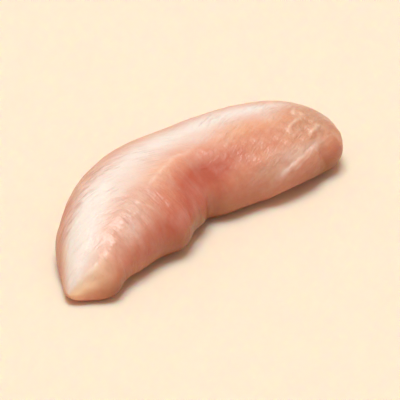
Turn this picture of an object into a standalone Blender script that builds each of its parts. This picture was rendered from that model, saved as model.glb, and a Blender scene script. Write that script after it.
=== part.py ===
"""Raw chicken tenderloin: one soft solid that lies on its flat underside.

A standalone script for Blender 4.5: blender --background --python part.py
The tenderloin lies along +X, from the thin tip at -X to the blunt end at +X, with +Z up. The near
side, at -Y, is the hollow side of the bend. Forms are worked out in millimetres and turned into
metres when the mesh is made.

The surface is a loft over two parameters. "Along" runs from the tip to the blunt end in
millimetres. "Around" goes round the section in degrees: 0 is the far side, 90 the top, 180 the
near side and 270 the underside.
"""

import bpy
import numpy as np

COLLECTION_NAME = "raw_chicken_tenderloin"
NODE_NAME = "tenderloin"
METRES_PER_MM = 0.001

# Outline from above and height, in mm, at stations that are shares of the length
LENGTH = 130.0
STATIONS = (0.00, 0.12, 0.25, 0.42, 0.60, 0.78, 0.92, 1.00)
CENTRE_LINE = (-3.0, 3.4, 9.0, 13.1, 10.5, 5.8, 0.5, -2.0)
HALF_WIDTH = (16.7, 18.9, 20.4, 21.9, 21.3, 22.2, 18.0, 17.0)
HEIGHT = (24.0, 24.0, 24.0, 24.9, 24.9, 24.0, 22.1, 21.2)

# How the two ends close, as shares of the length and powers of a round profile
TIP_REACH = 0.30
TIP_WIDTH_POWER = 0.66
TIP_HEIGHT_POWER = 0.72
END_REACH = 0.14
UNDER_REACH = 0.09
TIP_LIFT = 4.0
END_LIFT = 7.2
ROUND_POWER = 0.5

# The section: a superellipse above its widest line and a squarer one below, cut flat at the floor.
# Towards the tip its top closes to a keel.
UPPER_ROUNDNESS = 2.15
KEEL_ROUNDNESS = 1.55
KEEL_REACH = 31.0
LOWER_ROUNDNESS = 3.0
WIDEST_AT = 0.40
BELOW_FLOOR = 0.05

# Swellings of the two margins, in mm: (along, reach along, how far the margin moves out)
NEAR_MARGIN = ((12.0, 6.0, 3.7), (47.0, 6.8, 3.8), (66.3, 4.2, -2.2), (113.5, 4.6, -0.7))
FAR_MARGIN = ((4.0, 3.2, -1.3), (14.5, 5.3, 1.2), (96.0, 6.5, -0.7))

# Swells and hollows of the flesh: (along mm, around degrees, reach along, reach around, rise mm)
SWELLS = (
    (65.5, 138.0, 12.0, 20.0, -1.1),
    (66.5, 184.0, 5.0, 30.0, -0.9),
    (85.0, 152.0, 8.5, 16.0, 0.7),
    (33.0, 150.0, 10.0, 26.0, 0.55),
    (42.5, 60.0, 24.0, 16.0, 0.45),
    (96.0, 46.0, 16.5, 16.0, -0.55),
    (111.5, 170.0, 3.0, 18.0, -0.9),
    (121.0, 172.0, 5.0, 20.0, 0.9),
)

# Where the near margin lifts off the floor, in the same terms
UNDERCUTS = (
    (20.5, 222.0, 5.5, 20.0, -1.5),
    (56.0, 222.0, 4.6, 20.0, -1.3),
    (100.5, 224.0, 9.2, 22.0, -2.8),
)

# The shoulder, a soft ridge from near the tip to the blunt end: where it runs, and its size
SHOULDER_ALONG = (20.0, 46.0, 77.5, 112.5)
SHOULDER_AROUND = (122.0, 114.0, 113.0, 138.0)
SHOULDER_RISE = 0.35
SHOULDER_REACH = 11.0

# The small flap of muscle low on the near side of the blunt end: its edge, and its size
FLAP_AROUND = (148.0, 157.0, 166.0, 182.0, 207.0)
FLAP_EDGE = (110.5, 101.5, 95.0, 89.5, 86.5)
FLAP_RISE = 1.0
FLAP_STEP = 2.0
FLAP_LENGTH = 18.5
FLAP_MIDDLE = 176.0
FLAP_REACH = 34.0

# Bundles of muscle that lean across the near side, towards the blunt end on their way down
BUNDLE_PITCH = 6.8
BUNDLE_RISE = 0.12
BUNDLE_WANDER = 2.4
BUNDLE_WANDER_PITCH = 56.0
BUNDLE_LEAN = 0.125
BUNDLE_MIDDLE = 142.0
BUNDLE_REACH = 36.0

# Strands and folds that stand out, and furrows between them: a line of (along mm, around degrees),
# its half width in mm and its rise in mm. A degree is some 0.31 mm of surface, and a line fades over
# a quarter of its pieces at each end.
STRANDS = (
    (((80.0, 154.0), (96.0, 141.0), (103.0, 139.0)), 2.2, 0.40),
    (((95.6, 153.0), (108.8, 139.0), (114.3, 128.0)), 1.7, 0.35),
    (((101.5, 122.0), (106.5, 114.0), (112.2, 108.0)), 1.7, 0.40),
    (((107.0, 139.0), (112.2, 131.0), (116.6, 123.0)), 1.5, 0.35),
    (((107.5, 128.0), (111.9, 119.0), (114.6, 113.0)), 1.4, -0.40),
    (((112.0, 102.0), (117.0, 95.0), (121.0, 92.0)), 1.8, 0.35),
    (((117.0, 152.0), (120.5, 140.0), (122.0, 126.0)), 2.4, 0.18),
    (((35.0, 113.0), (37.0, 124.0), (39.4, 138.0)), 1.3, 0.30),
    (((21.0, 120.0), (22.2, 134.0), (24.1, 151.0)), 1.5, -0.30),
    (((17.0, 113.0), (18.6, 140.0), (20.0, 168.0)), 1.6, -0.32),
    (((0.5, 104.0), (4.7, 129.0), (11.2, 130.0), (17.0, 131.0), (25.0, 131.0)), 3.8, 0.90),
    (((26.0, 12.0), (50.0, 26.0), (76.0, 34.0)), 2.4, -0.35),
    (((58.0, 2.0), (84.0, 14.0), (108.0, 30.0)), 2.6, -0.40),
)
MM_PER_DEGREE = 0.31
LINE_FADE = 0.25

# The relief fades towards the two poles, over this distance in mm, and the tails of its bell curves,
# under this height in mm, are left out, so that the underside stays flat
FADE_ENDS = 4.6
LEAST_RELIEF = 0.02

# The mesh: its rings lie closer together at the ends, and its spokes closer together at the top
RINGS = 99
EVEN_RINGS = 0.5
SPOKES = 58
FIRST_SPOKE = -90.0
CROWD_TOP = 0.30

FLESH_COLOUR = (0.83, 0.52, 0.41, 1.0)
FLESH_ROUGHNESS = 0.34


def smooth_curve(places, values, at):
    """Natural cubic spline through (places, values), read at the numbers in at."""
    places = np.asarray(places, float)
    values = np.asarray(values, float)
    at = np.asarray(at, float)
    gaps = np.diff(places)
    slopes = np.diff(values) / gaps
    count = len(places)
    system = np.eye(count)
    bends = np.zeros(count)
    for i in range(1, count - 1):
        system[i, i - 1 : i + 2] = gaps[i - 1], 2 * (gaps[i - 1] + gaps[i]), gaps[i]
        bends[i] = 6 * (slopes[i] - slopes[i - 1])
    bends = np.linalg.solve(system, bends)
    i = np.clip(np.searchsorted(places, at) - 1, 0, count - 2)
    past = at - places[i]
    left = places[i + 1] - at
    cubic = (bends[i] * left**3 + bends[i + 1] * past**3) / (6 * gaps[i])
    line = (values[i] / gaps[i] - bends[i] * gaps[i] / 6) * left
    return cubic + line + (values[i + 1] / gaps[i] - bends[i + 1] * gaps[i] / 6) * past


def round_off(share, reach, power):
    """0 at the end and 1 from reach on, along a round profile raised to a power."""
    return (1 - (1 - np.clip(share / reach, 0, 1)) ** 2) ** power


def fall_off(distance, reach):
    """Bell curve: 1 at distance 0, about a third at reach."""
    return np.exp(-((distance / reach) ** 2))


def smooth_step(value):
    """0 below 0, 1 above 1, and an S between."""
    value = np.clip(value, 0, 1)
    return value * value * (3 - 2 * value)


def plain_body(along, around):
    """The body without relief, in mm: at each place along, a superellipse about the centre line."""
    share = along / LENGTH
    width_taper = round_off(share, TIP_REACH, TIP_WIDTH_POWER) * round_off(1 - share, END_REACH, ROUND_POWER)
    height_taper = round_off(share, TIP_REACH, TIP_HEIGHT_POWER) * round_off(1 - share, END_REACH, ROUND_POWER)
    under_taper = round_off(share, UNDER_REACH, ROUND_POWER) * round_off(1 - share, UNDER_REACH, ROUND_POWER)
    half = smooth_curve(STATIONS, HALF_WIDTH, share) * width_taper
    near = half + under_taper * sum(out * fall_off(along - at, reach) for at, reach, out in NEAR_MARGIN)
    far = half + under_taper * sum(out * fall_off(along - at, reach) for at, reach, out in FAR_MARGIN)
    lift = np.where(share < 0.5, TIP_LIFT, END_LIFT)
    top = lift + (smooth_curve(STATIONS, HEIGHT, share) - lift) * height_taper
    bottom = lift * (1 - under_taper)

    across = np.cos(np.radians(around))
    up = np.sin(np.radians(around))
    keel = smooth_step(1 - along / KEEL_REACH)
    upper = UPPER_ROUNDNESS + (KEEL_ROUNDNESS - UPPER_ROUNDNESS) * keel
    power = np.where(up >= 0, 2 / upper, 2 / LOWER_ROUNDNESS)
    across = np.sign(across) * np.abs(across) ** power
    rise = np.abs(up) ** power
    rise = np.where(up >= 0, WIDEST_AT + (1 - WIDEST_AT) * rise, WIDEST_AT - (WIDEST_AT + BELOW_FLOOR) * rise)
    x = along + 0 * around
    y = smooth_curve(STATIONS, CENTRE_LINE, share) + np.where(across > 0, far, near) * across
    z = bottom + (top - bottom) * np.maximum(rise, 0)
    return np.stack([x, y, z], axis=-1)


def outward(points):
    """Unit normals of a closed grid of points: the cross product of its two directions."""
    round_it = np.roll(points, -1, axis=1) - np.roll(points, 1, axis=1)
    along_it = np.gradient(points, axis=0)
    normal = np.cross(round_it, along_it)
    return normal / np.maximum(np.linalg.norm(normal, axis=-1, keepdims=True), 1e-9)


def swells(along, around):
    """Broad swells, hollows and undercuts, each a bell curve about its place."""
    return sum(
        rise * fall_off(along - at, reach) * fall_off(around - turn, turn_reach)
        for at, turn, reach, turn_reach, rise in SWELLS + UNDERCUTS
    )


def shoulder(along, around):
    """A soft ridge along a curve, which fades out at both ends of it."""
    ridge = smooth_curve(SHOULDER_ALONG, SHOULDER_AROUND, along)
    start = smooth_step((along - SHOULDER_ALONG[0]) / BUNDLE_PITCH)
    stop = smooth_step((SHOULDER_ALONG[-1] - along) / BUNDLE_PITCH)
    return SHOULDER_RISE * start * stop * fall_off(around - ridge, SHOULDER_REACH)


def flap(along, around):
    """The surface steps up past the flap's edge, then falls away over the flap's length."""
    past = along - smooth_curve(FLAP_AROUND, FLAP_EDGE, np.clip(around, FLAP_AROUND[0], FLAP_AROUND[-1]))
    step = smooth_step(0.5 + past / (2 * FLAP_STEP)) * fall_off(past, FLAP_LENGTH)
    return FLAP_RISE * step * fall_off(around - FLAP_MIDDLE, FLAP_REACH)


def bundles(along, around):
    """Waves of uneven width across the near side, leaning towards the blunt end as they go down."""
    wander = BUNDLE_WANDER * np.sin(2 * np.pi * along / BUNDLE_WANDER_PITCH)
    wave = np.cos(2 * np.pi * (along + wander - BUNDLE_LEAN * around) / BUNDLE_PITCH)
    return BUNDLE_RISE * wave * fall_off(around - BUNDLE_MIDDLE, BUNDLE_REACH)


def line_mask(along, beside, line, half_width):
    """Bell curve about a line in the plane of (along, beside), which fades out at both ends of it."""
    best = np.full(np.broadcast(along, beside).shape, np.inf)
    progress = np.zeros(best.shape)
    count = len(line) - 1
    for i in range(count):
        (x0, y0), (x1, y1) = line[i], line[i + 1]
        share = ((along - x0) * (x1 - x0) + (beside - y0) * (y1 - y0)) / ((x1 - x0) ** 2 + (y1 - y0) ** 2)
        share = np.clip(share, 0, 1)
        distance = np.hypot(along - x0 - share * (x1 - x0), beside - y0 - share * (y1 - y0))
        nearer = distance < best
        best = np.where(nearer, distance, best)
        progress = np.where(nearer, (i + share) / count, progress)
    fade = smooth_step(progress / LINE_FADE) * smooth_step((1 - progress) / LINE_FADE)
    return fall_off(best, half_width) * fade


def strands(along, around):
    """Strands and folds that stand out, and the furrows between them, each along its line."""
    total = 0
    for line, half_width, rise in STRANDS:
        path = [(at, turn * MM_PER_DEGREE) for at, turn in line]
        total = total + rise * line_mask(along, around * MM_PER_DEGREE, path, half_width)
    return total


def tenderloin_points():
    """The grid of surface points in mm, ring by ring from the tip, and the two poles that close it."""
    turn = np.arange(RINGS + 2) / (RINGS + 1)
    along = (LENGTH * (EVEN_RINGS * turn + (1 - EVEN_RINGS) * (1 - np.cos(np.pi * turn)) / 2))[:, None]
    spread = 2 * np.pi * np.arange(SPOKES) / SPOKES
    around = (FIRST_SPOKE + np.degrees(spread + CROWD_TOP * np.sin(spread)))[None, :]
    points = plain_body(along, around)
    relief = sum(form(along, around % 360) for form in (swells, shoulder, flap, bundles, strands))
    to_pole = np.minimum(along, LENGTH - along)
    relief = relief * smooth_step(to_pole / FADE_ENDS)
    relief = relief - np.clip(relief, -LEAST_RELIEF, LEAST_RELIEF)
    points = points + outward(points) * relief[..., None]
    points[..., 2] = np.maximum(points[..., 2], 0)
    return points[1:-1], points[0, 0], points[-1, 0]


def closed_mesh(name, rings, first_pole, last_pole):
    """Mesh of quads between the rings, with a fan of triangles at each pole."""
    count, spokes, _ = rings.shape
    vertices = np.concatenate([rings.reshape(-1, 3), [first_pole, last_pole]])
    low = vertices.min(axis=0)
    high = vertices.max(axis=0)
    vertices = (vertices - [(low[0] + high[0]) / 2, (low[1] + high[1]) / 2, low[2]]) * METRES_PER_MM
    index = np.arange(count * spokes).reshape(count, spokes)
    after = np.roll(index, -1, axis=1)
    sides = np.stack([index[:-1], after[:-1], after[1:], index[1:]], axis=-1).reshape(-1, 4)
    tip_fan = [(count * spokes, b, a) for a, b in zip(index[0].tolist(), after[0].tolist())]
    end_fan = [(count * spokes + 1, a, b) for a, b in zip(index[-1].tolist(), after[-1].tolist())]
    mesh = bpy.data.meshes.new(name)
    mesh.from_pydata(vertices.tolist(), [], sides.tolist() + tip_fan + end_fan)
    mesh.shade_smooth()
    mesh.validate()
    return mesh


def flesh_material():
    """Moist pale pink flesh."""
    material = bpy.data.materials.new("raw_flesh")
    material.use_nodes = True
    shader = material.node_tree.nodes["Principled BSDF"]
    shader.inputs["Base Color"].default_value = FLESH_COLOUR
    shader.inputs["Roughness"].default_value = FLESH_ROUGHNESS
    shader.inputs["Metallic"].default_value = 0.0
    return material


for old in list(bpy.data.objects):
    bpy.data.objects.remove(old)
collection = bpy.data.collections.new(COLLECTION_NAME)
bpy.context.scene.collection.children.link(collection)
tenderloin = bpy.data.objects.new(NODE_NAME, closed_mesh(NODE_NAME, *tenderloin_points()))
tenderloin.data.materials.append(flesh_material())
collection.objects.link(tenderloin)
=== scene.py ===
import math

import bpy
import numpy as np
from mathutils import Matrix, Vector


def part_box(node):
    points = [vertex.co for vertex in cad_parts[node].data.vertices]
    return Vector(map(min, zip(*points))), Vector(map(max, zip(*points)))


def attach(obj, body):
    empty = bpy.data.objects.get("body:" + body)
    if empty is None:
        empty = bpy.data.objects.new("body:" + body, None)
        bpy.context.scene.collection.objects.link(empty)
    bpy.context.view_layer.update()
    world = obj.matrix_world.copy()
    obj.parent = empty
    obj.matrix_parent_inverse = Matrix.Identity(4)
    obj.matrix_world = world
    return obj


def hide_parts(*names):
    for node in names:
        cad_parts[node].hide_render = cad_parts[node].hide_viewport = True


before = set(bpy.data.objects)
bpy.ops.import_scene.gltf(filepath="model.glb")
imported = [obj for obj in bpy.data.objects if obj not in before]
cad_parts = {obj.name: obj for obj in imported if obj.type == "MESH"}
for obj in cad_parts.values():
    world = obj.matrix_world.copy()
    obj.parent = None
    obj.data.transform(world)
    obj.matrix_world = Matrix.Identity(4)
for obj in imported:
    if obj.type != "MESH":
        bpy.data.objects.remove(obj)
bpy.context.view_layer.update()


# The muscle
# A raw chicken tenderloin is one long muscle, pulled whole from under the breast: a soft strip that
# tapers to a thin tip, with a blunt end where it was cut free. It has settled flat on what it lies
# on, and its fibres show through a thin, moist membrane.

METRES_PER_MM = 0.001

# Places on the muscle are along, in mm from the tip, and around, in degrees about the centre line:
# 0 is the far side, 90 the top, 180 the near side and 270 the underside
TOP = 90.0

# The outline from above and the height, in mm, at stations that are shares of the length
LENGTH = 130.0
STATIONS = (0.00, 0.12, 0.25, 0.42, 0.60, 0.78, 0.92, 1.00)
CENTRE_LINE = (-3.0, 3.4, 9.0, 13.1, 10.5, 5.8, 0.5, -2.0)
HALF_WIDTH = (16.7, 18.9, 20.4, 21.9, 21.3, 22.2, 18.0, 17.0)
HEIGHT = (24.0, 24.0, 24.0, 24.9, 24.9, 24.0, 22.1, 21.2)

# How the two ends close, as shares of the length and as powers, where 0.5 gives a quarter circle, and
# how high above the floor their points end, in mm
TIP_REACH = 0.30
TIP_WIDTH_POWER = 0.66
TIP_HEIGHT_POWER = 0.72
END_REACH = 0.14
UNDER_REACH = 0.09
ROUND_POWER = 0.5
TIP_LIFT = 4.0
END_LIFT = 7.2

# The section: a superellipse above its widest line and a squarer one below, flat at the floor.
# Towards the tip its top closes to a keel.
UPPER_ROUNDNESS = 2.15
KEEL_ROUNDNESS = 1.55
KEEL_REACH = 31.0
LOWER_ROUNDNESS = 3.0
WIDEST_AT = 0.40
BELOW_FLOOR = 0.05

# Swellings of the two margins, in mm: (along, reach along, how far the margin moves out)
NEAR_MARGIN = ((12.0, 6.0, 3.7), (47.0, 6.8, 3.8), (66.3, 4.2, -2.2), (113.5, 4.6, -0.7))
FAR_MARGIN = ((4.0, 3.2, -1.3), (14.5, 5.3, 1.2), (96.0, 6.5, -0.7))


def smooth_curve(places, values, at):
    """Natural cubic spline, read at the numbers in at: cubic pieces that join in value, slope and bend."""
    places = np.asarray(places, float)
    values = np.asarray(values, float)
    at = np.asarray(at, float)
    gaps = np.diff(places)
    slopes = np.diff(values) / gaps
    count = len(places)
    system = np.eye(count)
    bends = np.zeros(count)
    for i in range(1, count - 1):
        system[i, i - 1 : i + 2] = gaps[i - 1], 2 * (gaps[i - 1] + gaps[i]), gaps[i]
        bends[i] = 6 * (slopes[i] - slopes[i - 1])
    bends = np.linalg.solve(system, bends)
    i = np.clip(np.searchsorted(places, at) - 1, 0, count - 2)
    past = at - places[i]
    left = places[i + 1] - at
    cubic = (bends[i] * left**3 + bends[i + 1] * past**3) / (6 * gaps[i])
    line = (values[i] / gaps[i] - bends[i] * gaps[i] / 6) * left
    return cubic + line + (values[i + 1] / gaps[i] - bends[i + 1] * gaps[i] / 6) * past


def round_off(share, reach, power):
    """The round of an end: 0 at the end of the muscle and 1 from reach on, by a power of a parabola."""
    return (1 - (1 - np.clip(share / reach, 0, 1)) ** 2) ** power


def fall_off(distance, reach):
    """Bell curve, e to minus the square of distance over reach: 1 at 0, and about a third at reach."""
    return np.exp(-((distance / reach) ** 2))


def smooth_step(value):
    """Three times the square less twice the cube: 0 below 0, 1 above 1, and an S between."""
    value = np.clip(value, 0, 1)
    return value * value * (3 - 2 * value)


def plain_body(along, around):
    """The body without relief, in mm: at each place along, a superellipse about the centre line.

    Its half width and its top are splines along the stations, times the round of each end. Its
    margins move out by bell curves, and its underside rises to a point at each end.
    """
    share = along / LENGTH
    blunt_round = round_off(1 - share, END_REACH, ROUND_POWER)
    width_taper = round_off(share, TIP_REACH, TIP_WIDTH_POWER) * blunt_round
    height_taper = round_off(share, TIP_REACH, TIP_HEIGHT_POWER) * blunt_round
    under_taper = round_off(share, UNDER_REACH, ROUND_POWER)
    under_taper = under_taper * round_off(1 - share, UNDER_REACH, ROUND_POWER)
    half = smooth_curve(STATIONS, HALF_WIDTH, share) * width_taper
    near = half + under_taper * sum(out * fall_off(along - at, reach) for at, reach, out in NEAR_MARGIN)
    far = half + under_taper * sum(out * fall_off(along - at, reach) for at, reach, out in FAR_MARGIN)
    lift = np.where(share < 0.5, TIP_LIFT, END_LIFT)
    top = lift + (smooth_curve(STATIONS, HEIGHT, share) - lift) * height_taper
    bottom = lift * (1 - under_taper)

    across = np.cos(np.radians(around))
    up = np.sin(np.radians(around))
    keel = smooth_step(1 - along / KEEL_REACH)
    upper = UPPER_ROUNDNESS + (KEEL_ROUNDNESS - UPPER_ROUNDNESS) * keel
    power = np.where(up >= 0, 2 / upper, 2 / LOWER_ROUNDNESS)
    across = np.sign(across) * np.abs(across) ** power
    rise = np.abs(up) ** power
    above = WIDEST_AT + (1 - WIDEST_AT) * rise
    below = WIDEST_AT - (WIDEST_AT + BELOW_FLOOR) * rise
    x = along + 0 * around
    y = smooth_curve(STATIONS, CENTRE_LINE, share) + np.where(across > 0, far, near) * across
    z = bottom + (top - bottom) * np.maximum(np.where(up >= 0, above, below), 0)
    return np.stack([x, y, z], axis=-1)


# Swells, hollows and undercuts: (along mm, around degrees, reach along, reach around, rise mm)
SWELLS = (
    (65.5, 138.0, 12.0, 20.0, -1.1),
    (66.5, 184.0, 5.0, 30.0, -0.9),
    (85.0, 152.0, 8.5, 16.0, 0.7),
    (33.0, 150.0, 10.0, 26.0, 0.55),
    (42.5, 60.0, 24.0, 16.0, 0.45),
    (96.0, 46.0, 16.5, 16.0, -0.55),
    (111.5, 170.0, 3.0, 18.0, -0.9),
    (121.0, 172.0, 5.0, 20.0, 0.9),
    (20.5, 222.0, 5.5, 20.0, -1.5),
    (56.0, 222.0, 4.6, 20.0, -1.3),
    (100.5, 224.0, 9.2, 22.0, -2.8),
)


def bells(along, beside, places):
    """Sum of bell curves over the surface, each about its own place, times its own strength."""
    return sum(
        strength * fall_off(along - at, reach) * fall_off(beside - at_beside, reach_beside)
        for at, at_beside, reach, reach_beside, strength in places
    )


def swells(along, around):
    """Broad swells, hollows and undercuts: a sum of bell curves."""
    return bells(along, around, SWELLS)


# The shoulder, a soft ridge from near the tip to the blunt end: a line of places, its rise in mm,
# its reach in degrees, and over how many mm it fades at each end
SHOULDER_ALONG = (20.0, 46.0, 77.5, 112.5)
SHOULDER_AROUND = (122.0, 114.0, 113.0, 138.0)
SHOULDER_RISE = 0.35
SHOULDER_REACH = 11.0
SHOULDER_FADE = 6.8


def shoulder(along, around):
    """A bell curve round about a spline line, times an S where the line starts and where it stops."""
    ridge = smooth_curve(SHOULDER_ALONG, SHOULDER_AROUND, along)
    start = smooth_step((along - SHOULDER_ALONG[0]) / SHOULDER_FADE)
    stop = smooth_step((SHOULDER_ALONG[-1] - along) / SHOULDER_FADE)
    return SHOULDER_RISE * start * stop * fall_off(around - ridge, SHOULDER_REACH)


# A small flap of muscle, low on the near side of the blunt end: the line of its edge, its rise, half
# the width of its step and its length in mm, and its middle and reach in degrees
FLAP_AROUND = (148.0, 157.0, 166.0, 182.0, 207.0)
FLAP_EDGE = (110.5, 101.5, 95.0, 89.5, 86.5)
FLAP_RISE = 1.0
FLAP_STEP = 2.0
FLAP_LENGTH = 18.5
FLAP_MIDDLE = 176.0
FLAP_REACH = 34.0


def past_flap_edge(along, around):
    """Distance along from the flap's edge, in mm: the place along less a spline line's."""
    return along - smooth_curve(FLAP_AROUND, FLAP_EDGE, np.clip(around, FLAP_AROUND[0], FLAP_AROUND[-1]))


def flap(along, around):
    """An S up across the flap's edge, times bell curves past the edge and round the muscle."""
    past = past_flap_edge(along, around)
    step = smooth_step(0.5 + past / (2 * FLAP_STEP)) * fall_off(past, FLAP_LENGTH)
    return FLAP_RISE * step * fall_off(around - FLAP_MIDDLE, FLAP_REACH)


# Bundles of muscle that lean across the near side: pitch, rise and wander in mm, the lean in mm for
# each degree, and the middle and reach in degrees
BUNDLE_PITCH = 6.8
BUNDLE_RISE = 0.12
BUNDLE_WANDER = 2.4
BUNDLE_WANDER_PITCH = 56.0
BUNDLE_LEAN = 0.125
BUNDLE_MIDDLE = 142.0
BUNDLE_REACH = 36.0


def bundles(along, around):
    """A cosine wave, moved along by a slow sine and by the place round, times a bell curve round."""
    wander = BUNDLE_WANDER * np.sin(2 * np.pi * along / BUNDLE_WANDER_PITCH)
    wave = np.cos(2 * np.pi * (along + wander - BUNDLE_LEAN * around) / BUNDLE_PITCH)
    return BUNDLE_RISE * wave * fall_off(around - BUNDLE_MIDDLE, BUNDLE_REACH)


# Strands and folds that stand out, and furrows between them: a line of (along mm, around degrees),
# its half width in mm and its rise in mm. A degree is some 0.31 mm of surface, and a line fades over
# a quarter of its pieces at each end.
STRANDS = (
    (((80.0, 154.0), (96.0, 141.0), (103.0, 139.0)), 2.2, 0.40),
    (((95.6, 153.0), (108.8, 139.0), (114.3, 128.0)), 1.7, 0.35),
    (((101.5, 122.0), (106.5, 114.0), (112.2, 108.0)), 1.7, 0.40),
    (((107.0, 139.0), (112.2, 131.0), (116.6, 123.0)), 1.5, 0.35),
    (((107.5, 128.0), (111.9, 119.0), (114.6, 113.0)), 1.4, -0.40),
    (((112.0, 102.0), (117.0, 95.0), (121.0, 92.0)), 1.8, 0.35),
    (((117.0, 152.0), (120.5, 140.0), (122.0, 126.0)), 2.4, 0.18),
    (((35.0, 113.0), (37.0, 124.0), (39.4, 138.0)), 1.3, 0.30),
    (((21.0, 120.0), (22.2, 134.0), (24.1, 151.0)), 1.5, -0.30),
    (((17.0, 113.0), (18.6, 140.0), (20.0, 168.0)), 1.6, -0.32),
    (((0.5, 104.0), (4.7, 129.0), (11.2, 130.0), (17.0, 131.0), (25.0, 131.0)), 3.8, 0.90),
    (((26.0, 12.0), (50.0, 26.0), (76.0, 34.0)), 2.4, -0.35),
    (((58.0, 2.0), (84.0, 14.0), (108.0, 30.0)), 2.6, -0.40),
)
MM_PER_DEGREE = 0.31
LINE_FADE = 0.25


def line_mask(along, beside, line, half_width):
    """Bell curve of the distance to a line of straight pieces, times an S at each end of the line."""
    best = np.full(np.broadcast(along, beside).shape, np.inf)
    progress = np.zeros(best.shape)
    count = len(line) - 1
    for i in range(count):
        (x0, y0), (x1, y1) = line[i], line[i + 1]
        share = ((along - x0) * (x1 - x0) + (beside - y0) * (y1 - y0)) / ((x1 - x0) ** 2 + (y1 - y0) ** 2)
        share = np.clip(share, 0, 1)
        distance = np.hypot(along - x0 - share * (x1 - x0), beside - y0 - share * (y1 - y0))
        nearer = distance < best
        best = np.where(nearer, distance, best)
        progress = np.where(nearer, (i + share) / count, progress)
    fade = smooth_step(progress / LINE_FADE) * smooth_step((1 - progress) / LINE_FADE)
    return fall_off(best, half_width) * fade


def strands(along, around):
    """Strands and folds that stand out, and furrows between them: each line's mask times its rise."""
    total = 0
    for line, half_width, rise in STRANDS:
        path = [(at, turn * MM_PER_DEGREE) for at, turn in line]
        total = total + rise * line_mask(along, around * MM_PER_DEGREE, path, half_width)
    return total


# Fine relief goes by girth in place of around: the mm round the surface from the top, negative on
# the far side. Its noise draws on a square of this many random numbers each way, over and over.
NOISE_CELLS = 256


def girth_of(points, around):
    """The lengths of the steps round each ring summed up, less their sum at the top."""
    steps = np.linalg.norm(np.diff(points, axis=1), axis=-1)
    walked = np.concatenate([np.zeros((len(points), 1)), np.cumsum(steps, axis=1)], axis=1)
    top = int(np.argmin(np.abs(around[0] - TOP)))
    return walked - walked[:, top : top + 1]


def drift(u, v, seed):
    """Smooth seeded noise: random numbers from -1 to 1 at whole (u, v), mixed by an S between them."""
    table = np.random.default_rng(seed).uniform(-1, 1, (NOISE_CELLS, NOISE_CELLS))
    low_u = np.floor(u).astype(int)
    low_v = np.floor(v).astype(int)
    ease_u = smooth_step(u - low_u)
    ease_v = smooth_step(v - low_v)
    here_u = low_u % NOISE_CELLS
    next_u = (low_u + 1) % NOISE_CELLS
    here_v = low_v % NOISE_CELLS
    next_v = (low_v + 1) % NOISE_CELLS
    first = table[here_u, here_v] * (1 - ease_u) + table[next_u, here_v] * ease_u
    second = table[here_u, next_v] * (1 - ease_u) + table[next_u, next_v] * ease_u
    return first * (1 - ease_v) + second * ease_v


def ramp(value, start, full):
    """An S from 0 at start to 1 at full, where full may also be less than start."""
    return smooth_step((value - start) / (full - start))


def sides(along, girth, zones):
    """Sum of zones, each a bell curve along times an S round, times its own strength."""
    return sum(
        strength * fall_off(along - at, reach) * ramp(girth, start, full)
        for at, reach, start, full, strength in zones
    )


# Strengths that change over the surface are sums of two kinds of zone, in mm. One has a place: (along,
# girth, reach along, reach of girth, strength). The other takes in a side: (along, reach along, the
# girth where it starts, the girth where it is full, strength), and may run the whole length.
WHOLE_LENGTH = math.inf

# The fibres run straight on each side of the muscle, at a turn from straight round it, in degrees:
# nearly lengthwise on the far side, round it on the near side, and rising lengthwise at the blunt end
FAR_TURN = 64.0
NEAR_TURN = 8.0
END_TURN = -62.0

# The seams where one side's fibres give way to the next, in mm: the girth and the place along where
# each starts, how wide it is, how far noise moves it, and the pitch of that noise
NEAR_FROM = 4.0
NEAR_BLEND = 7.0
NEAR_WAVER = 2.0
END_FROM = 66.0
END_BLEND = 18.0
END_WAVER = 3.0
SEAM_PITCH = 6.0
SEAM_SEED = 42


def fibre_frame(along, girth, turn):
    """Places across and along the fibres, in mm: (along, girth) rotated by the fibres' turn."""
    angle = math.radians(turn)
    across = along * math.cos(angle) - girth * math.sin(angle)
    run = along * math.sin(angle) + girth * math.cos(angle)
    return across, run


def side_masks(along, girth):
    """Shares of the near side and of the blunt end: an S across each seam, which noise moves."""
    uneven = drift(along / SEAM_PITCH, girth / SEAM_PITCH, SEAM_SEED)
    near = smooth_step((girth + NEAR_WAVER * uneven - NEAR_FROM) / NEAR_BLEND)
    end = smooth_step((along + END_WAVER * uneven - END_FROM) / END_BLEND)
    return near, end


def fibre_waves(along, girth, pitch, run, seed):
    """Noise with a pitch across and a run along the fibres of each side, mixed by the side masks."""
    waves = []
    for step, turn in enumerate((FAR_TURN, NEAR_TURN, END_TURN)):
        across, down = fibre_frame(along, girth, turn)
        waves.append(drift(across / pitch, down / run, seed + step))
    far, near, end = waves
    near_mask, end_mask = side_masks(along, girth)
    side = far + (near - far) * near_mask
    return side + (end - side) * end_mask


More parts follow.
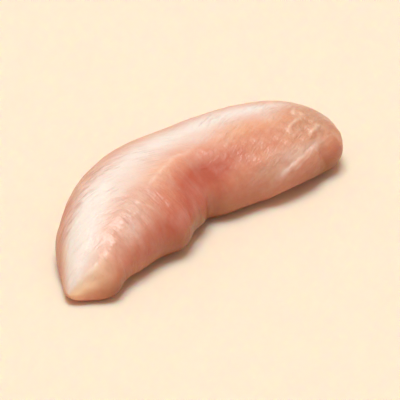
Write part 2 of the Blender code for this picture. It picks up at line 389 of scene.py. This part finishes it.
# Folds of the membrane, each a line of (along, girth), its half width and its rise, in mm
FOLDS = (
    (((17.7, -3.4), (22.1, 1.9), (26.9, 5.3), (34.3, 8.0), (36.6, 10.1)), 1.0, -0.09),
    (((35.0, 9.0), (37.0, 12.9), (39.4, 18.0)), 0.5, 0.15),
    (((29.6, 10.4), (31.6, 12.0), (34.3, 13.4)), 0.6, 0.16),
    (((40.8, 10.8), (46.1, 9.0), (54.0, 7.9), (60.7, 6.1), (66.3, 5.9), (74.4, 3.8)), 0.8, 0.26),
    (((5.0, -5.6), (8.8, -5.0), (12.2, -3.9), (15.3, -1.8)), 0.45, 0.22),
    (((7.6, -7.4), (11.5, -6.6), (15.0, -5.2), (18.6, -3.0)), 0.45, 0.16),
    (((25.0, 8.6), (26.8, 13.0), (28.4, 17.0)), 0.8, 0.12),
    (((0.5, 3.4), (6.7, 7.0), (11.9, 8.8)), 1.1, 0.15),
    (((83.9, 1.4), (82.8, 3.4), (81.2, 5.3)), 0.55, -0.16),
    (((88.4, 1.0), (86.8, 3.6), (84.6, 6.2)), 0.55, -0.16),
    (((81.6, -0.9), (80.2, 1.4), (78.6, 3.7)), 0.55, -0.14),
    (((89.0, 27.6), (93.5, 25.5), (98.1, 23.8), (103.9, 22.0), (110.6, 18.9)), 2.3, 0.16),
    (((91.5, 29.5), (96.5, 27.8), (103.2, 26.2), (109.0, 23.6)), 1.0, -0.20),
    (((102.0, 13.0), (106.5, 9.6), (112.4, 6.2)), 0.6, 0.34),
    (((108.8, 15.9), (112.2, 13.8), (116.6, 10.3)), 0.6, 0.32),
    (((112.6, 1.4), (114.9, -2.0)), 0.6, 0.26),
    (((111.6, 5.0), (114.9, 1.6)), 0.55, 0.28),
    (((111.2, 8.6), (114.6, 4.6)), 0.6, 0.28),
    (((108.4, 18.0), (111.2, 21.4), (112.9, 25.4), (113.0, 30.0)), 1.8, -0.30),
)

# How far noise moves a fold sideways, in mm, and what share of its rise it has on average and gains
# or loses by noise, with the pitch of each noise in mm
FOLD_WAVER = 0.8
FOLD_WAVER_PITCH = 3.0
FOLD_SHARE = 0.8
FOLD_UNEVEN = 0.35
FOLD_UNEVEN_PITCH = 2.2
ALONG_SEED = 21
GIRTH_SEED = 22
FOLD_SEED = 23


def folds(along, girth):
    """Sum of each fold's mask times its rise, at places moved by noise, all times an uneven share."""
    waver = (along / FOLD_WAVER_PITCH, girth / FOLD_WAVER_PITCH)
    wavy_along = along + FOLD_WAVER * drift(*waver, ALONG_SEED)
    wavy_girth = girth + FOLD_WAVER * drift(*waver, GIRTH_SEED)
    uneven = FOLD_UNEVEN * drift(along / FOLD_UNEVEN_PITCH, girth / FOLD_UNEVEN_PITCH, FOLD_SEED)
    total = 0
    for line, half_width, rise in FOLDS:
        total = total + rise * line_mask(wavy_along, wavy_girth, line, half_width)
    return total * (FOLD_SHARE + uneven)


# Furrows along the fibres, coarse ones and a share of fine ones, in mm. They are deepest low on the
# far side near the tip, and almost gone in the hollow of the near side.
FURROW_PITCH = 1.25
FURROW_RUN = 7.0
FURROW_RISE = 0.17
FURROW_SEED = 101
FINE_FURROW_PITCH = 0.5 * FURROW_PITCH
FINE_FURROW_RUN = 0.6 * FURROW_RUN
FINE_FURROW_SHARE = 0.45
FINE_FURROW_SEED = 111
FURROW_BASE = 0.30
FURROW_SIDES = (
    (24.0, 24.0, -3.0, -10.0, 0.95),
    (0.0, WHOLE_LENGTH, 8.0, 14.0, -0.12),
)
FURROW_HOLLOWS = ((68.0, 16.0, 14.0, 11.0, 0.80),)


def furrows(along, girth):
    """Coarse waves plus a share of fine ones along the fibres, times a strength that changes by zone."""
    coarse = fibre_waves(along, girth, FURROW_PITCH, FURROW_RUN, FURROW_SEED)
    fine = fibre_waves(along, girth, FINE_FURROW_PITCH, FINE_FURROW_RUN, FINE_FURROW_SEED)
    strength = FURROW_BASE + sides(along, girth, FURROW_SIDES)
    strength = strength * (1 - bells(along, girth, FURROW_HOLLOWS))
    return FURROW_RISE * strength * (coarse + FINE_FURROW_SHARE * fine)


# Ridged wrinkles of the membrane, in mm, where it is slack: beside the crest near the tip, low on the
# near side, and over the blunt end between two edges of girth
WRINKLE_PITCH = 2.2
WRINKLE_RUN = 6.0
WRINKLE_RISE = 0.13
WRINKLE_SEED = 124
WRINKLE_TOP = 0.5
SMALL_WRINKLE_PITCH = 0.5 * WRINKLE_PITCH
SMALL_WRINKLE_RUN = 0.5 * WRINKLE_RUN
SMALL_WRINKLE_SHARE = 0.5
SMALL_WRINKLE_SEED = 131
WRINKLE_PLACES = (
    (25.0, 9.0, 17.0, 8.0, 0.40),
    (90.0, 20.0, 8.0, 6.0, 0.70),
)
WRINKLED_END = 112.0
WRINKLED_END_REACH = 13.0
WRINKLED_END_STRENGTH = 1.3
WRINKLED_FAR_EDGE = (-14.0, -6.0)
WRINKLED_NEAR_EDGE = (34.0, 26.0)


def wrinkles(along, girth):
    """Ridges, a top level less the size of coarse and small waves, times a strength by zone."""
    wave = fibre_waves(along, girth, WRINKLE_PITCH, WRINKLE_RUN, WRINKLE_SEED)
    small = fibre_waves(along, girth, SMALL_WRINKLE_PITCH, SMALL_WRINKLE_RUN, SMALL_WRINKLE_SEED)
    end = fall_off(along - WRINKLED_END, WRINKLED_END_REACH)
    end = end * ramp(girth, *WRINKLED_FAR_EDGE) * ramp(girth, *WRINKLED_NEAR_EDGE)
    ridged = WRINKLE_TOP - np.abs(wave) - SMALL_WRINKLE_SHARE * np.abs(small)
    return WRINKLE_RISE * (bells(along, girth, WRINKLE_PLACES) + WRINKLED_END_STRENGTH * end) * ridged


# The relief fades to nothing over this many mm at the tip and at the blunt end. The fine relief also
# fades in between two heights above the floor, in mm.
FADE_ENDS = 4.6
FINE_HEIGHTS = (1.0, 5.0)

# The mesh has rings along the muscle, closer together at its two ends, and spokes round each ring
# from the underside, closer together at the top. Even spacing has this share of the rings' steps, and
# the crowding moves the spokes by up to this many radians.
RINGS = 399
EVEN_RINGS = 0.65
SPOKES = 240
FIRST_SPOKE = -90.0
CROWD_TOP = 0.30

# The least length that a normal is divided by, because at the two poles it has none
SHORTEST_NORMAL = 1e-9


def outward(points):
    """Unit normals of a closed grid of points: the cross product of its two directions."""
    round_it = np.roll(points, -1, axis=1) - np.roll(points, 1, axis=1)
    along_it = np.gradient(points, axis=0)
    normal = np.cross(round_it, along_it)
    return normal / np.maximum(np.linalg.norm(normal, axis=-1, keepdims=True), SHORTEST_NORMAL)


def surface_grid():
    """Points in mm from the pole at the tip to the pole at the blunt end, and the coordinates of each.

    The plain body, moved out along its normals by the sum of all relief, and held above the floor.
    """
    turn = np.arange(RINGS + 2) / (RINGS + 1)
    along = (LENGTH * (EVEN_RINGS * turn + (1 - EVEN_RINGS) * (1 - np.cos(np.pi * turn)) / 2))[:, None]
    spread = 2 * np.pi * np.arange(SPOKES) / SPOKES
    around = (FIRST_SPOKE + np.degrees(spread + CROWD_TOP * np.sin(spread)))[None, :]
    points = plain_body(along, around)
    girth = girth_of(points, around)
    relief = sum(form(along, around % 360) for form in (swells, shoulder, flap, bundles, strands))
    fine = folds(along, girth) + furrows(along, girth) + wrinkles(along, girth)
    relief = relief + fine * ramp(points[..., 2], *FINE_HEIGHTS)
    relief = relief * smooth_step(np.minimum(along, LENGTH - along) / FADE_ENDS)
    points = points + outward(points) * relief[..., None]
    points[..., 2] = np.maximum(points[..., 2], 0)
    return points, along + 0 * girth, around + 0 * girth, girth


def closed_mesh(name, grid):
    """Mesh of a grid whose first and last rows are poles: quads between rings and a fan at each pole."""
    count, spokes, _ = grid.shape
    vertices = np.concatenate([grid[1:-1].reshape(-1, 3), grid[:1, 0], grid[-1:, 0]])
    index = np.arange((count - 2) * spokes).reshape(count - 2, spokes)
    after = np.roll(index, -1, axis=1)
    between = np.stack([index[:-1], after[:-1], after[1:], index[1:]], axis=-1).reshape(-1, 4)
    tip = np.full(spokes, (count - 2) * spokes)
    tip_fan = np.stack([tip, after[0], index[0]], axis=-1)
    end_fan = np.stack([tip + 1, index[-1], after[-1]], axis=-1)
    mesh = bpy.data.meshes.new(name)
    mesh.from_pydata(vertices.tolist(), [], between.tolist() + tip_fan.tolist() + end_fan.tolist())
    mesh.shade_smooth()
    return mesh


def at_vertices(values):
    """A grid of values in the order of the mesh's vertices: the rings first, then the two poles."""
    return np.concatenate([values[1:-1].reshape(-1), values[:1, 0], values[-1:, 0]])


points, along, around, girth = surface_grid()

# The mesh stands where the solid does: the middle of its outline over the middle of the solid's box
low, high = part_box("tenderloin")
outline_low = points.reshape(-1, 3).min(axis=0)
outline_high = points.reshape(-1, 3).max(axis=0)
middle = (outline_low + outline_high) / 2
stand_at = np.array([(low.x + high.x) / 2, (low.y + high.y) / 2, low.z])
shift = stand_at - np.array([middle[0], middle[1], 0]) * METRES_PER_MM

mesh = closed_mesh("muscle", points * METRES_PER_MM + shift)
muscle = bpy.data.objects.new("muscle", mesh)
bpy.context.scene.collection.objects.link(muscle)

# Patches of colour and of texture: (along mm, around degrees, reach along, reach around, strength)
# Redness: red flesh in places, and painted shade darkening the near side and the tip's near face
RED_AND_SHADE_PLACES = (
    (64.0, 135.0, 12.0, 16.0, 0.80),
    (67.0, 141.0, 6.5, 10.0, 0.45),
    (80.0, 128.0, 11.0, 13.0, 0.48),
    (50.0, 164.0, 22.0, 34.0, 1.00),
    (84.0, 180.0, 22.0, 30.0, 0.26),
    (13.0, 172.0, 6.0, 20.0, 0.35),
    (26.0, 172.0, 15.0, 26.0, 0.38),
    (118.5, 172.0, 5.5, 20.0, 0.62),
    (104.0, 186.0, 13.0, 18.0, 0.60),
)
WARM_PLACES = (
    (90.0, 102.0, 12.0, 11.0, 0.50),
    (112.0, 112.0, 10.0, 30.0, 0.55),
    (10.0, 176.0, 6.0, 22.0, 0.85),
    (118.0, 160.0, 7.0, 24.0, 0.60),
    (56.0, 106.0, 14.0, 6.0, 0.60),
)
CREAM_PLACES = (
    (5.0, 146.0, 7.0, 22.0, 0.78),
    (11.0, 132.0, 6.0, 8.0, 0.32),
    (1.0, 165.0, 3.0, 55.0, 0.60),
)
# Paleness: pale membrane, and painted sheen along the lit top and the far flank
PALE_AND_SHEEN_PLACES = (
    (8.0, 88.0, 9.0, 38.0, 0.95),
    (20.0, 78.0, 14.0, 30.0, 0.78),
    (29.0, 133.0, 9.0, 12.0, 0.20),
    (40.0, 79.0, 20.0, 24.0, 0.75),
    (66.0, 79.0, 18.0, 18.0, 0.68),
    (92.0, 76.0, 20.0, 15.5, 0.88),
    (98.0, 148.0, 9.0, 9.0, 0.26),
    (110.0, 150.0, 5.0, 7.0, 0.30),
    (106.0, 82.0, 9.0, 9.0, 0.45),
    (36.0, 116.0, 8.0, 8.0, 0.20),
    (2.0, 120.0, 5.0, 22.0, 0.50),
    (40.0, 99.0, 9.0, 7.0, 0.12),
    (90.0, 163.0, 10.0, 13.0, 0.17),
    (24.0, 142.0, 8.0, 14.0, 0.14),
    (2.0, 50.0, 5.0, 30.0, 0.35),
    (76.0, 97.0, 6.0, 8.0, 0.20),
    (103.0, 97.0, 5.0, 8.0, 0.24),
    (90.0, 54.0, 13.0, 10.0, 0.24),
)
# Dullness: brown flesh at the blunt end, and painted shade on the end cap and the tip's near face
DULL_AND_SHADE_PLACES = (
    (119.0, 112.0, 8.0, 36.0, 0.60),
    (129.0, 130.0, 5.0, 60.0, 0.45),
    (9.0, 166.0, 6.0, 22.0, 0.40),
    (108.0, 128.0, 12.0, 22.0, 0.42),
    (92.0, 162.0, 9.0, 12.0, 0.25),
    (26.0, 118.0, 11.0, 13.0, 0.34),
)
# Patches of painted shade, where the flesh turns away from the light or lies low by the floor
PAINTED_SHADE_PLACES = (
    (14.0, 194.0, 7.0, 14.0, 0.35),
    (53.0, 190.0, 10.0, 16.0, 0.62),
    (113.0, 194.0, 9.0, 14.0, 0.45),
    (130.0, 150.0, 5.0, 60.0, 0.42),
)
CRACKLE_PLACES = (
    (91.0, 148.0, 8.0, 12.0, 0.80),
    (112.0, 116.0, 13.0, 36.0, 1.00),
)
STRAND_PLACES = (
    (24.0, 30.0, 22.0, 26.0, 1.0),
    (30.0, 140.0, 16.0, 26.0, 0.38),
    (78.0, 108.0, 16.0, 20.0, 0.40),
    (78.0, 100.0, 14.0, 14.0, 0.60),
    (112.0, 120.0, 14.0, 40.0, 0.50),
)
STRAND_LEAST = 0.12


def patches(places):
    """Soft patches over the whole grid: a sum of bell curves, held between 0 and 1."""
    return np.clip(bells(along, around % 360, places), 0, 1)


# Pale streaks beside the flap's edge: (mm past the edge, half width in mm, strength), about a middle
# and a reach in degrees, and broken up by noise that leaves them an average share
FLAP_STREAKS = ((-0.6, 2.4, 0.85), (4.6, 1.3, 0.60))
STREAK_MIDDLE = 164.0
STREAK_REACH = 18.0
STREAK_SHARE = 0.6
STREAK_UNEVEN = 0.4
STREAK_PITCH = 1.6
STREAK_SEED = 41


def flap_streaks():
    """Sum of bell curves beside the flap's edge, times a bell curve round and an uneven share."""
    past = past_flap_edge(along, around)
    streaks = sum(much * fall_off(past - at, half_width) for at, half_width, much in FLAP_STREAKS)
    uneven = STREAK_UNEVEN * drift(along / STREAK_PITCH, girth / STREAK_PITCH, STREAK_SEED)
    return streaks * fall_off(around - STREAK_MIDDLE, STREAK_REACH) * (STREAK_SHARE + uneven)


# The foot is painted shade low on the muscle, where it lies on the floor, with a little damp darkening
# of the flesh in it. It is full at the floor and gone at a height, starts a little way from the tip,
# and is weaker in two stretches: (along, reach along, share lost). The far side has only a share of
# it. All in mm.
FOOT_HEIGHT = 15.0
FOOT_FROM_TIP = (5.0, 14.0)
FOOT_STRETCHES = ((91.0, 13.0, 0.65), (25.0, 6.0, 0.45))
FOOT_FAR_SHARE = 0.55


def foot_shade(near_side):
    """An S down with height, times an S along and 1 less each stretch's bell, plus painted shade patches.
    """
    foot_damp_and_shade = smooth_step(1 - points[..., 2] / FOOT_HEIGHT) * ramp(along, *FOOT_FROM_TIP)
    for at, reach, lost in FOOT_STRETCHES:
        foot_damp_and_shade = foot_damp_and_shade * (1 - lost * fall_off(along - at, reach))
    foot_damp_and_shade = foot_damp_and_shade * (FOOT_FAR_SHARE + (1 - FOOT_FAR_SHARE) * near_side)
    return np.clip(foot_damp_and_shade + patches(PAINTED_SHADE_PLACES), 0, 1)


# Strokes of darker colour along the fibres: strong low on both sides and beside the crest near the
# tip, weak in the hollow of the near side and on the smooth flank, and uneven by noise
STROKE_BASE = 0.28
STROKE_SIDES = (
    (24.0, 24.0, -5.0, -11.0, 1.00),
    (0.0, WHOLE_LENGTH, 4.0, -4.0, 0.14),
    (35.0, 24.0, 11.0, 17.0, 0.30),
)
STROKE_PLACES = (
    (26.0, 8.0, 15.0, 8.0, 0.40),
    (66.0, 16.0, 12.0, 9.0, -0.40),
    (30.0, -3.5, 18.0, 5.0, -0.10),
)
STROKE_UNEVEN = 0.30
STROKE_PITCH = 7.0
STROKE_SEED = 43


def strokes():
    """A base, plus the sums of both kinds of zone, plus noise, held between 0 and 1."""
    zones = sides(along, girth, STROKE_SIDES) + bells(along, girth, STROKE_PLACES)
    uneven = STROKE_UNEVEN * drift(along / STROKE_PITCH, girth / STROKE_PITCH, STROKE_SEED)
    return np.clip(STROKE_BASE + zones + uneven, 0, 1)


# Folds carry painted glints: a fold this high in mm takes its full shares of pale colour and, towards
# the blunt end, of cream. The streaks take a share of pale colour too.
FOLD_FULL = 0.25
FOLD_GLINT_PALE = 0.25
FOLD_GLINT_CREAM = 0.30
FOLD_GLINT_CREAM_FROM = (95.0, 103.0)
STREAK_PALE = 0.35

near_side, blunt_end = side_masks(along, girth)
painted_fold_glints = np.clip(folds(along, girth) / FOLD_FULL, 0, 1)
paleness_and_sheen = patches(PALE_AND_SHEEN_PLACES) + STREAK_PALE * flap_streaks() + FOLD_GLINT_PALE * painted_fold_glints
cream_and_glints = patches(CREAM_PLACES) + FOLD_GLINT_CREAM * painted_fold_glints * ramp(along, *FOLD_GLINT_CREAM_FROM)
masks = {
    "redness_and_shade": patches(RED_AND_SHADE_PLACES),
    "paleness_and_sheen": np.clip(paleness_and_sheen, 0, 1),
    "warmth": patches(WARM_PLACES),
    "cream_and_glints": np.clip(cream_and_glints, 0, 1),
    "fibrous": STRAND_LEAST + (1 - STRAND_LEAST) * patches(STRAND_PLACES),
    "stroked": strokes(),
    "near_side": near_side,
    "blunt_end": blunt_end,
    "crackled": patches(CRACKLE_PLACES),
    "dullness_and_shade": patches(DULL_AND_SHADE_PLACES),
    "foot_damp_and_shade": foot_shade(near_side),
}
for name, values in masks.items():
    layer = mesh.attributes.new(name, "FLOAT", "POINT")
    layer.data.foreach_set("value", at_vertices(values).astype(np.float32))

# Each side's fibre coordinates, in mm, for patterns along its fibres: a name, the fibres' turn, and a
# scale that is below 1 where the pattern is coarser
FIBRE_SIDES = (
    ("fibre_far", FAR_TURN, 1.0),
    ("fibre_near", NEAR_TURN, 0.55),
    ("fibre_end", END_TURN, 1.0),
)
for name, turn, scale in FIBRE_SIDES:
    layer = mesh.attributes.new(name, "FLOAT_VECTOR", "POINT")
    across, run = (at_vertices(values) for values in fibre_frame(along, girth, turn))
    pairs = scale * np.stack([across, run, 0 * across], axis=-1)
    layer.data.foreach_set("vector", pairs.astype(np.float32).ravel())

# Colours of the flesh, and how much of its colour each pattern lays on. Some carry painted light too:
# shade in the red, dull and foot colours, sheen in the pale one, and glints in the cream one.
FLESH_PINK = (0.67, 0.25, 0.15, 1)
FLESH_PEACH = (0.73, 0.35, 0.21, 1)
FLESH_WARM = (0.84, 0.38, 0.18, 1)
# Red of the flesh's bands and freckles, and of the redness, which is partly painted shade
FLESH_RED_AND_SHADE = (0.50, 0.105, 0.055, 1)
# Brown of dull flesh, partly painted shade
FLESH_DULL_AND_SHADE = (0.56, 0.33, 0.21, 1)
FLESH_STROKE = (0.52, 0.215, 0.135, 1)
# Painted shade low on the muscle, with a little damp darkening of the flesh
FLESH_FOOT_SHADE = (0.31, 0.09, 0.02, 1)
# Cream of the tip, and of painted glints on folds near the blunt end
FLESH_CREAM_AND_GLINT = (0.92, 0.62, 0.38, 1)
# Pale of the membrane, strands and mottles, and of painted sheen
FLESH_PALE_AND_SHEEN = (0.84, 0.752, 0.685, 1)
BAND_COVER = 0.28
FRECKLE_COVER = 0.24
STRAND_COVER = 0.20
MOTTLE_COVER = 0.12
STROKE_COVER = 0.40
CRINKLE_COVER = 0.20
FOOT_COVER = 0.95

# Patterns along the fibres: (cells across for each mm, cells along for each mm, the noise at which
# they start to show, the noise at which they are full, an offset that sets each apart)
STRAND_PATTERN = (0.80, 0.20, 0.40, 0.70, 3.1)
BAND_PATTERN = (0.55, 0.16, 0.42, 0.68, 7.7)
STROKE_PATTERN = (1.00, 0.22, 0.44, 0.72, 9.4)
MOTTLE_PATTERN = (0.36, 0.20, 0.45, 0.75, 5.3)

# Patterns with no direction: (cells for each metre, start and full as above, offset, octaves)
BLOTCH_PATTERN = (75.0, 0.36, 0.64, 1.9, 2.0)
GRAIN_PATTERN = (900.0, 0.30, 0.70, 0.0, 2.0)
FRECKLE_PATTERN = (430.0, 0.36, 0.64, 6.3, 2.0)
CRINKLE_PATTERN = (380.0, 0.35, 0.65, 4.2, 3.0)
FIBRE_OCTAVES = 2.0

# How far each pattern seems to rise above the surface, in mm, or to sink into it
BAND_RELIEF = 0.14
STRAND_RELIEF = 0.14
STROKE_RELIEF = -0.34
CRINKLE_RELIEF = 0.30
FRECKLE_RELIEF = 0.08
GRAIN_RELIEF = 0.04

# The gloss of moist flesh, duller on the bands than between them, and what is the same all over:
# light that glows a few mm into the flesh, and a thin wet coat
GLOSSY = 0.38
DULLER = 0.56
FLESH_FINISH = {
    "Subsurface Weight": 0.4,
    "Subsurface Radius": (1.0, 0.35, 0.2),
    "Subsurface Scale": 0.005,
    "Coat Weight": 0.18,
    "Coat Roughness": 0.33,
}


def plain_material(name, finish):
    """New material with the same finish all over: each named socket of its shader set to its value."""
    material = bpy.data.materials.new(name)
    material.use_nodes = True
    shader = material.node_tree.nodes["Principled BSDF"]
    for socket, value in finish.items():
        shader.inputs[socket].default_value = value
    return material


def feed(tree, socket, value):
    """Link a socket to another socket, or set it to a number or a colour."""
    if isinstance(value, bpy.types.NodeSocket):
        tree.links.new(value, socket)
    else:
        socket.default_value = value


def read(tree, name, output="Fac"):
    """A value that the mesh holds at each vertex, under this name."""
    node = tree.nodes.new("ShaderNodeAttribute")
    node.attribute_name = name
    return node.outputs[output]


def times(tree, first, second):
    """The product of two values."""
    node = tree.nodes.new("ShaderNodeMath")
    node.operation = "MULTIPLY"
    feed(tree, node.inputs[0], first)
    feed(tree, node.inputs[1], second)
    return node.outputs["Value"]


def mix(tree, kind, cover, under, over):
    """Under times 1 less cover, plus over times cover. Kind is FLOAT for numbers, RGBA for colours."""
    node = tree.nodes.new("ShaderNodeMix")
    node.data_type = kind
    feed(tree, node.inputs["Factor"], cover)
    feed(tree, node.inputs["A"], under)
    feed(tree, node.inputs["B"], over)
    return node.outputs["Result"]


def noise(tree, place, scales, start, full, offset, octaves):
    """Noise at place times scales plus offset, spread in a line so that start to full is 0 to 1."""
    mapping = tree.nodes.new("ShaderNodeMapping")
    mapping.inputs["Scale"].default_value = scales
    mapping.inputs["Location"].default_value = (offset, offset, offset)
    feed(tree, mapping.inputs["Vector"], place)
    texture = tree.nodes.new("ShaderNodeTexNoise")
    texture.inputs["Scale"].default_value = 1
    texture.inputs["Detail"].default_value = octaves
    feed(tree, texture.inputs["Vector"], mapping.outputs["Vector"])
    spread = tree.nodes.new("ShaderNodeMapRange")
    spread.inputs["From Min"].default_value = start
    spread.inputs["From Max"].default_value = full
    feed(tree, spread.inputs["Value"], texture.outputs["Fac"])
    return spread.outputs["Result"]


def even_noise(tree, scale, start, full, offset, octaves):
    """Noise at the place on the object, with the same scale each way."""
    place = tree.nodes.new("ShaderNodeTexCoord").outputs["Object"]
    return noise(tree, place, (scale, scale, scale), start, full, offset, octaves)


def fibre_noise(tree, scale_across, scale_along, start, full, offset):
    """Noise at the fibre coordinates of each side, mixed by the side masks."""
    scales = (scale_across, scale_along, 1)
    far, near, end = (
        noise(tree, read(tree, name, "Vector"), scales, start, full, offset, FIBRE_OCTAVES)
        for name, _, _ in FIBRE_SIDES
    )
    side = mix(tree, "FLOAT", read(tree, "near_side"), far, near)
    return mix(tree, "FLOAT", read(tree, "blunt_end"), side, end)


def flesh_material():
    """Raw flesh: coats of colour, each mixed over the last where its mask shows it, and a furrowed gloss.

    The roughness follows the bands in a straight line, and each pattern's bump adds to the last.
    """
    material = plain_material("raw_flesh", FLESH_FINISH)
    tree = material.node_tree
    shader = tree.nodes["Principled BSDF"]

    strand = times(tree, fibre_noise(tree, *STRAND_PATTERN), read(tree, "fibrous"))
    band = times(tree, fibre_noise(tree, *BAND_PATTERN), read(tree, "fibrous"))
    stroke = times(tree, fibre_noise(tree, *STROKE_PATTERN), read(tree, "stroked"))
    mottle = fibre_noise(tree, *MOTTLE_PATTERN)
    blotch = even_noise(tree, *BLOTCH_PATTERN)
    grain = even_noise(tree, *GRAIN_PATTERN)
    freckle = times(tree, even_noise(tree, *FRECKLE_PATTERN), read(tree, "near_side"))
    crinkle = times(tree, even_noise(tree, *CRINKLE_PATTERN), read(tree, "crackled"))

    # Redness, dullness and the foot also paint shade, paleness paints sheen too, and cream paints glints
    # on folds
    coats = (
        (read(tree, "warmth"), FLESH_WARM),
        (read(tree, "dullness_and_shade"), FLESH_DULL_AND_SHADE),
        (read(tree, "redness_and_shade"), FLESH_RED_AND_SHADE),
        (times(tree, band, BAND_COVER), FLESH_RED_AND_SHADE),
        (times(tree, freckle, FRECKLE_COVER), FLESH_RED_AND_SHADE),
        (times(tree, strand, STRAND_COVER), FLESH_PALE_AND_SHEEN),
        (times(tree, mottle, MOTTLE_COVER), FLESH_PALE_AND_SHEEN),
        (read(tree, "cream_and_glints"), FLESH_CREAM_AND_GLINT),
        (read(tree, "paleness_and_sheen"), FLESH_PALE_AND_SHEEN),
        (times(tree, stroke, STROKE_COVER), FLESH_STROKE),
        (times(tree, crinkle, CRINKLE_COVER), FLESH_STROKE),
        (times(tree, read(tree, "foot_damp_and_shade"), FOOT_COVER), FLESH_FOOT_SHADE),
    )
    colour = mix(tree, "RGBA", blotch, FLESH_PINK, FLESH_PEACH)
    for cover, coat in coats:
        colour = mix(tree, "RGBA", cover, colour, coat)
    feed(tree, shader.inputs["Base Color"], colour)

    roughness = tree.nodes.new("ShaderNodeMapRange")
    roughness.inputs["To Min"].default_value = GLOSSY
    roughness.inputs["To Max"].default_value = DULLER
    feed(tree, roughness.inputs["Value"], band)
    feed(tree, shader.inputs["Roughness"], roughness.outputs["Result"])

    reliefs = (
        (band, BAND_RELIEF),
        (strand, STRAND_RELIEF),
        (stroke, STROKE_RELIEF),
        (crinkle, CRINKLE_RELIEF),
        (freckle, FRECKLE_RELIEF),
        (grain, GRAIN_RELIEF),
    )
    normal = None
    for height, rise in reliefs:
        bump = tree.nodes.new("ShaderNodeBump")
        bump.inputs["Distance"].default_value = rise * METRES_PER_MM
        feed(tree, bump.inputs["Height"], height)
        if normal:
            feed(tree, bump.inputs["Normal"], normal)
        normal = bump.outputs["Normal"]
    feed(tree, shader.inputs["Normal"], normal)
    return material


mesh.materials.append(flesh_material())
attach(muscle, "root")
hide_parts("tenderloin")


# The floor
# A wide, pale, matt sheet for the muscle to lie on. It is plain, and light sinks into it, so that
# the shade next to the flesh stays warm.

# How far it reaches each way from the middle, in metres, and what is the same all over it
FLOOR_REACH = 4.0
FLOOR_FINISH = {
    "Base Color": (0.85, 0.70, 0.55, 1),
    "Roughness": 0.9,
    "Subsurface Weight": 0.8,
    "Subsurface Radius": (1.0, 0.35, 0.1),
    "Subsurface Scale": 0.012,
}

floor_mesh = bpy.data.meshes.new("floor")
floor_corners = [(x * FLOOR_REACH, y * FLOOR_REACH, 0) for x, y in ((-1, -1), (1, -1), (1, 1), (-1, 1))]
floor_mesh.from_pydata(floor_corners, [], [(0, 1, 2, 3)])
floor_mesh.materials.append(plain_material("pale_floor", FLOOR_FINISH))
floor = bpy.data.objects.new("floor", floor_mesh)
bpy.context.scene.collection.objects.link(floor)


# The light
# One square softbox hangs almost straight over the muscle, so that its gloss lies along the top and
# its sides turn into soft shade. A dim, warm surround fills in from everywhere else.

# The place on the floor that the softbox and the camera face, in mm along and across the muscle
AIM_ALONG = 74.7
AIM_ACROSS = 7.8
aim = Vector((AIM_ALONG * METRES_PER_MM + shift[0], AIM_ACROSS * METRES_PER_MM + shift[1], 0))

# The softbox: its direction from the aim in degrees, its distance and side in metres, and its watts
SOFTBOX_TURN = 290.0
SOFTBOX_RISE = 87.0
SOFTBOX_DISTANCE = 3.0
SOFTBOX_SIDE = 1.35
SOFTBOX_WATTS = 77.0

# The surround, a warm white and dim
SURROUND_COLOUR = (1, 0.88, 0.76, 1)
SURROUND_STRENGTH = 0.45


def towards(turn, rise):
    """Unit vector at a turn about the vertical and a rise above the floor, in degrees.

    The turn's sine and negative cosine, both times the rise's cosine, and the rise's sine as height.
    """
    turn = math.radians(turn)
    rise = math.radians(rise)
    return Vector((math.sin(turn) * math.cos(rise), -math.cos(turn) * math.cos(rise), math.sin(rise)))


def face_muscle(thing, turn, rise, distance):
    """Put a light or camera at the aim plus a distance times the direction, looking back along it."""
    direction = towards(turn, rise)
    thing.location = aim + direction * distance
    thing.rotation_euler = direction.to_track_quat("Z", "Y").to_euler()
    bpy.context.scene.collection.objects.link(thing)


softbox_data = bpy.data.lights.new("key", "AREA")
softbox_data.shape = "SQUARE"
softbox_data.size = SOFTBOX_SIDE
softbox_data.energy = SOFTBOX_WATTS
softbox = bpy.data.objects.new("key", softbox_data)
softbox.visible_camera = False
face_muscle(softbox, SOFTBOX_TURN, SOFTBOX_RISE, SOFTBOX_DISTANCE)

world = bpy.data.worlds.new("studio")
world.use_nodes = True
surround = world.node_tree.nodes["Background"]
surround.inputs["Color"].default_value = SURROUND_COLOUR
surround.inputs["Strength"].default_value = SURROUND_STRENGTH
bpy.context.scene.world = world


# The camera
# A long lens looks down on the near side of the muscle, from the direction of its tip, as in the
# photo. It is as long as the photo's lens, times a zoom that lets the muscle fill the frame.

# The direction in degrees and the distance in metres, the photo's focal length and width in pixels,
# the width of the camera's sensor in mm, and the zoom
VIEW_TURN = -46.0
VIEW_RISE = 35.0
VIEW_DISTANCE = 1.306
PHOTO_FOCAL = 1632
PHOTO_WIDTH = 400
SENSOR_WIDTH = 36
FRAME_ZOOM = 2.3

camera_data = bpy.data.cameras.new("camera")
camera_data.sensor_width = SENSOR_WIDTH
camera_data.lens = SENSOR_WIDTH * PHOTO_FOCAL / PHOTO_WIDTH * FRAME_ZOOM
camera = bpy.data.objects.new("camera", camera_data)
face_muscle(camera, VIEW_TURN, VIEW_RISE, VIEW_DISTANCE)
bpy.context.scene.camera = camera
bpy.context.scene.view_settings.view_transform = "Standard"
